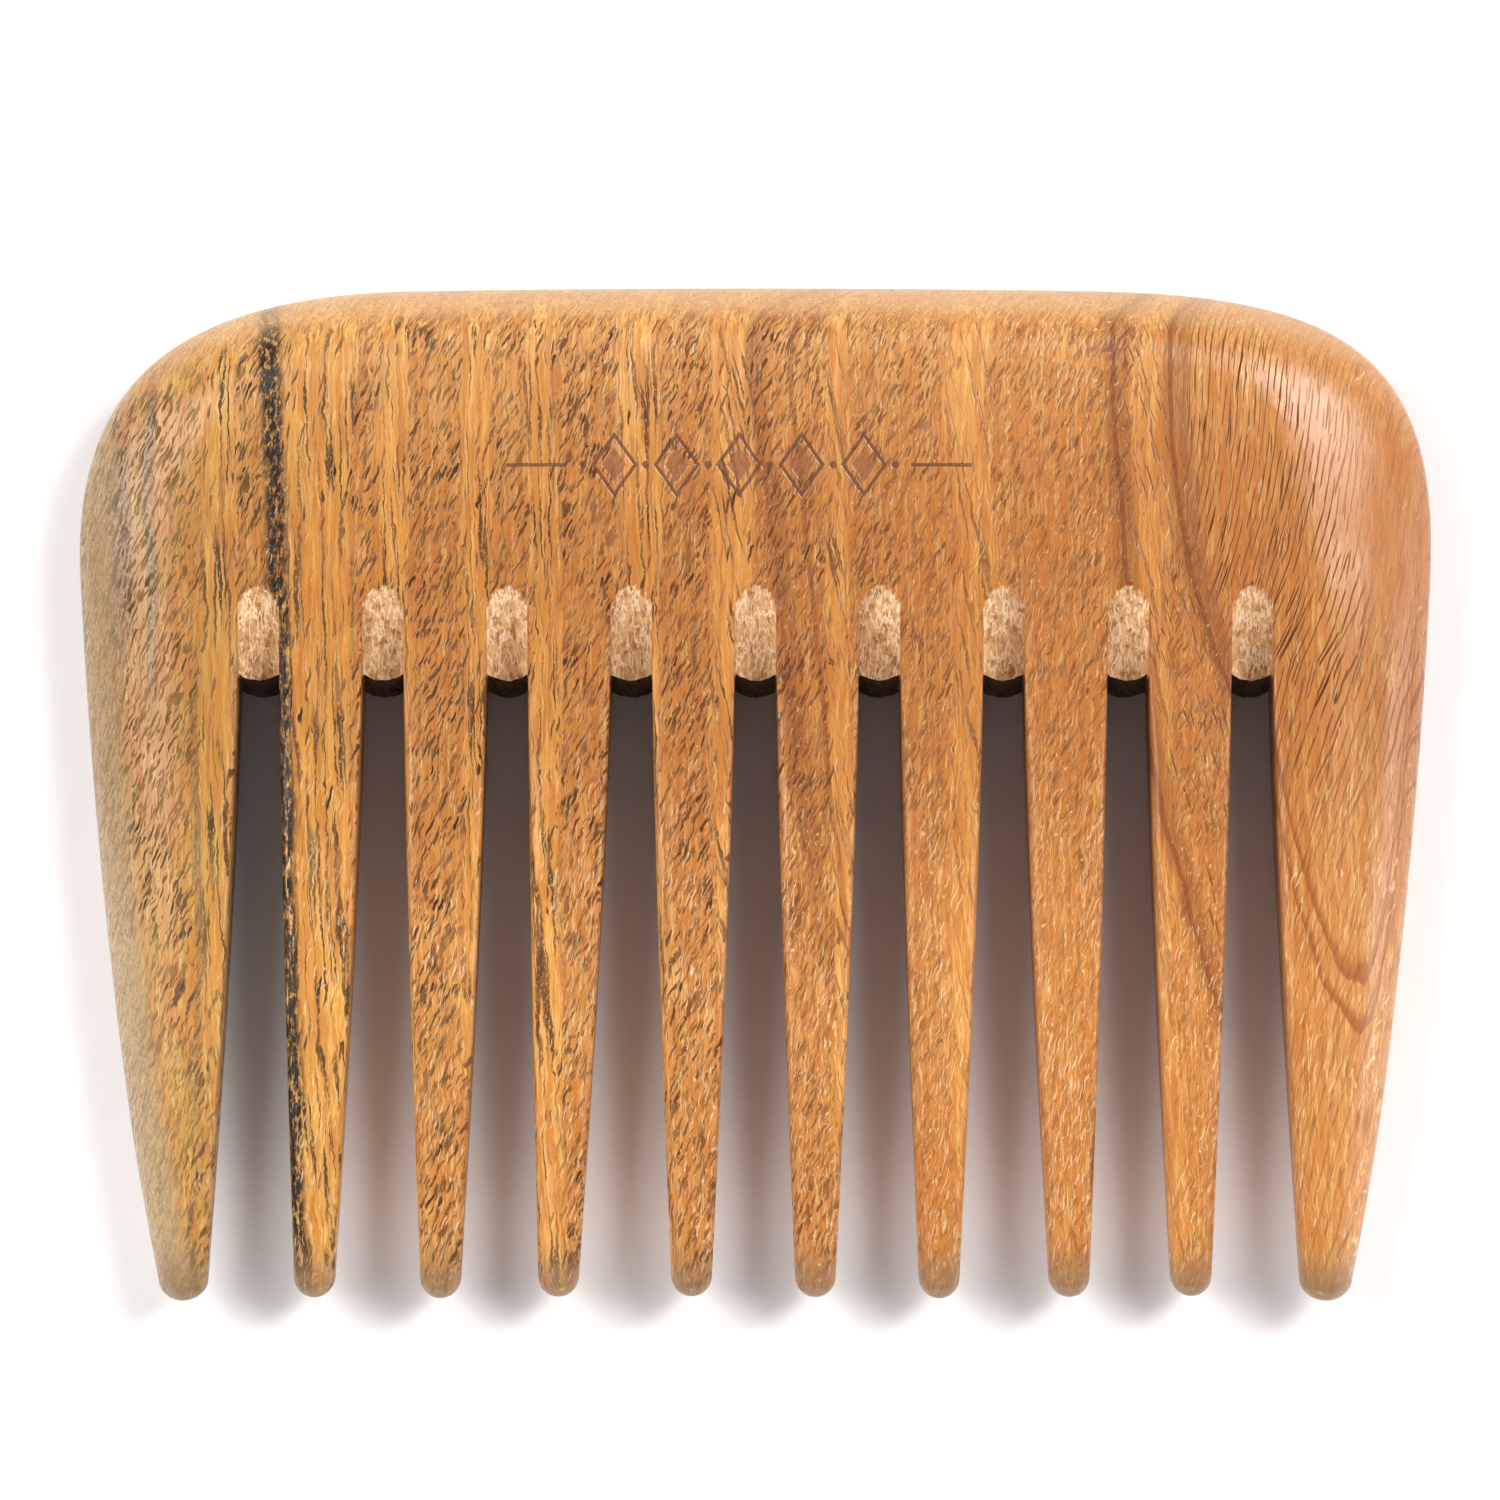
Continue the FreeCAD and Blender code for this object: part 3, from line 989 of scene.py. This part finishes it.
def lifted_fibres(graph, grain, wood):
    """Pale lifted fibres, mostly on the teeth and right of the middle, and small glints."""
    x, y, z, wavy = grain.x, grain.y, grain.z, grain.wavy
    patchy = graph.step(0.42, 0.6, graph.noise(x / 3, y / 9, z / 5, 2.0))
    on_teeth = graph.step(8.0, -6.0, y) * 0.5
    beside_lines = graph.step(14.0, 17.0, x) * graph.step(28.0, 25.0, x) * 0.4
    often = (0.1 + (on_teeth + beside_lines)) * graph.step(-39.0, -36.0, x)
    spot = (wavy + 3.3, y + 40.0, z)
    flecks = dashes(graph, spot, (0.42, 1.7, 1.0), 0.25, 0.05, 0.9, patchy * often * 1.2)
    wood = graph.mix(flecks * 0.45, wood, LIFTED_FIBRE)
    glint = graph.noise((wavy - y * 0.25) * 6.0, y * 1.8, z * 4.0, 2.0)
    glint = graph.step(0.62, 0.74, glint) * grain.rough
    glint = glint * graph.step(-30.0, 0.0, x) * (1.0 - grain.right)
    return graph.mix(glint * 0.5, wood, GLINT)


def end_grain(graph, grain, wood):
    """Stippled end grain over the spine's top and on the tips, and darker stipple towards the tips'
    ends.
    """
    stipple = graph.noise(grain.x * 6.0, grain.y * 4.0, grain.z * 5.0, 4.0, 0.8)
    wood = graph.mix(grain.end * 0.5, wood, graph.ramp(stipple, END_GRAIN))
    # The stipple darkens towards the tips' ends.
    darker_ends = graph.step(-32.5, -36.6, grain.y) * graph.step(0.3, 0.5, stipple) * 0.85
    return graph.mix(darker_ends, wood, TIP_END_DARK)


def oiled(graph, grain, wood):
    """The oil deepens every tone, most of all over the middle of the spine."""
    handled = graph.step(40.0, 20.0, grain.y) * graph.step(-14.0, 6.0, grain.y)
    return graph.mix(1.0, wood, graph.mix(handled, THIN_OIL, OILED), "MULTIPLY")


def torn_fibres(graph, grain):
    """The colour of the gullets, the white fibres that stand up in them, and painted shade where the
    gullets' surfaces face the tips, which darkens the slot roots.
    """
    x, y, z = grain.x, grain.y, grain.z
    cream = graph.ramp(graph.noise(x * 1.6, y * 1.1, z * 1.5, 4.0, 0.7), TORN)
    hairs = graph.noise(x * 8.0, y * 3.5, z * 2.0, 4.0, 0.8)
    veins = abs(graph.noise(x * 2.0, y * 0.6, z * 0.7, 2.0, 0.6) - 0.5)
    white = graph.math("MAXIMUM", graph.step(0.05, 0.02, veins), graph.step(0.58, 0.7, hairs) * 0.6)
    cream = graph.mix(white * 0.8, cream, WHITE_FIBRE)
    # Painted shade: the slot roots, which face the tips and lie in shadow, are painted nearly black.
    root_shade_mask = graph.step(-0.45, -0.75, grain.facing_y)
    cream = graph.mix(root_shade_mask * 0.96, cream, PAINTED_ROOT_SHADE)
    shade = graph.step(0.4, 0.6, graph.noise(x / 9, 4.0, 0.0))
    return graph.mix(1.0, cream, graph.mix(shade, *GULLET_SHADES), "MULTIPLY"), white


def carved_wood():
    graph = Graph("oiled_hardwood")
    grain = Grain(graph)
    wood = plain_board(graph, grain)
    wood = late_wood(graph, grain, wood)
    wood = guard_arches(graph, grain, wood)
    sanded = sanded_share(graph, grain)
    # The sanded facet's polished reddish tone, darkened further as painted shade beside its highlight.
    wood = graph.mix(sanded * 0.45, wood, SANDED_AND_SHADED)
    lines = [fanned_lines(graph, grain, sanded), feathered_lines(graph, grain)]
    pores = strongest(graph, [open_pores(graph, grain), *lines]) * (1.0 - grain.end * 0.75)
    wood = graph.mix(pores, wood, grain.tone(graph, PORES))
    stain = graph.noise(grain.wavy * 1.1, grain.y * 0.16, grain.z / 3, 3.0, 0.6)
    wood = graph.mix(graph.step(0.62, 0.75, stain) * grain.rough * 0.6, wood, STAIN)
    wood, streak = black_streak(graph, grain, wood)
    wood = weathered_side_and_sheen(graph, grain, wood)
    wood = lifted_fibres(graph, grain, wood)
    wood = end_grain(graph, grain, wood)
    wood = oiled(graph, grain, wood)
    cream, white = torn_fibres(graph, grain)
    wood = graph.mix(grain.torn * 0.97, wood, cream)

    burned, filled = burned_band(graph, grain.x + grain.sway * 0.15, grain.y + grain.sway * 0.1)
    front = graph.step(THICKNESS - 0.5, THICKNESS - 0.3, grain.z)
    wood = graph.mix(filled * front * (0.5 + grain.grit * 0.4), wood, BURNED_FILL)
    wood = graph.mix(burned * front * (0.65 + grain.grit * 0.4), wood, BURNED_LINE)
    graph.feed(graph.shader.inputs["Base Color"], wood)

    roughness = 0.29 + (grain.grit - 0.5) * 0.12 + pores * 0.3 + grain.torn * 0.5 + grain.end * 0.1
    graph.feed(graph.shader.inputs["Roughness"], roughness)
    graph.feed(graph.shader.inputs["Specular IOR Level"], 0.5 - pores * 0.45)
    height = grain.fibre * 0.5 - pores * 0.9 + grain.grit * 0.4 - streak * 0.5
    height = height + grain.torn * white * 1.5
    height = height - strongest(graph, [burned, filled * 0.6]) * front * 1.6
    bump = graph.add("ShaderNodeBump")
    bump.inputs["Strength"].default_value = RELIEF_STRENGTH
    bump.inputs["Distance"].default_value = RELIEF_DEPTH
    graph.feed(bump.inputs["Height"], height)
    graph.feed(graph.shader.inputs["Normal"], Signal(graph, bump.outputs["Normal"]))
    return graph.material


comb.data.materials.append(carved_wood())


# --- stage, light and camera ---


def make_floor():
    mesh = bmesh.new()
    bmesh.ops.create_grid(mesh, x_segments=1, y_segments=1, size=FLOOR_HALF)
    data = bpy.data.meshes.new("floor")
    mesh.to_mesh(data)
    mesh.free()
    floor = bpy.data.objects.new("floor", data)
    bpy.context.scene.collection.objects.link(floor)
    material = bpy.data.materials.new("pale_floor")
    material.use_nodes = True
    shader = material.node_tree.nodes["Principled BSDF"]
    shader.inputs["Base Color"].default_value = (*FLOOR_COLOUR, 1)
    shader.inputs["Roughness"].default_value = 0.7
    data.materials.append(material)


def add_softbox(name, place, target, size, power):
    lamp = bpy.data.lights.new(name, "AREA")
    lamp.shape = "RECTANGLE"
    lamp.size, lamp.size_y = size
    lamp.energy = power
    obj = bpy.data.objects.new(name, lamp)
    obj.location = place
    direction = Vector(target) - Vector(place)
    obj.rotation_euler = direction.to_track_quat("-Z", "Y").to_euler()
    bpy.context.scene.collection.objects.link(obj)


def make_light():
    world = bpy.data.worlds.new("studio")
    world.use_nodes = True
    tree = world.node_tree
    coordinates = tree.nodes.new("ShaderNodeTexCoord")
    split = tree.nodes.new("ShaderNodeSeparateXYZ")
    fade = tree.nodes.new("ShaderNodeMapRange")
    fade.interpolation_type = "SMOOTHSTEP"
    fade.inputs["From Min"].default_value = 0.1
    fade.inputs["From Max"].default_value = 0.7
    fade.inputs["To Min"].default_value = HORIZON_GLOW
    fade.inputs["To Max"].default_value = ZENITH_GLOW
    tree.links.new(coordinates.outputs["Generated"], split.inputs[0])
    tree.links.new(split.outputs["Z"], fade.inputs["Value"])
    tree.links.new(fade.outputs[0], tree.nodes["Background"].inputs["Strength"])
    tree.nodes["Background"].inputs["Color"].default_value = (1, 1, 1, 1)
    bpy.context.scene.world = world
    add_softbox("left_softbox", (-0.64, 0.2, 0.63), (0, 0, 0), (0.5, 0.9), 9.2)
    add_softbox("right_softbox", (0.52, 0.36, 0.78), (0, 0, 0), (0.38, 0.6), 10.0)
    add_softbox("front_softbox", (0.0, -0.9, 0.3), (0, 0, 0), (1.2, 0.35), 4.2)
    add_softbox("side_softbox", (0.7, -0.05, 0.1), (0, 0, 0.01), (0.2, 0.5), 1.5)
    bpy.context.scene.view_settings.view_transform = "Standard"


def make_camera():
    data = bpy.data.cameras.new("camera")
    data.sensor_width = 36
    data.lens = LENS
    camera = bpy.data.objects.new("camera", data)
    camera.location = CAMERA_PLACE
    bpy.context.scene.collection.objects.link(camera)
    bpy.context.scene.camera = camera
    data.clip_end = 10


make_floor()
make_light()
make_camera()
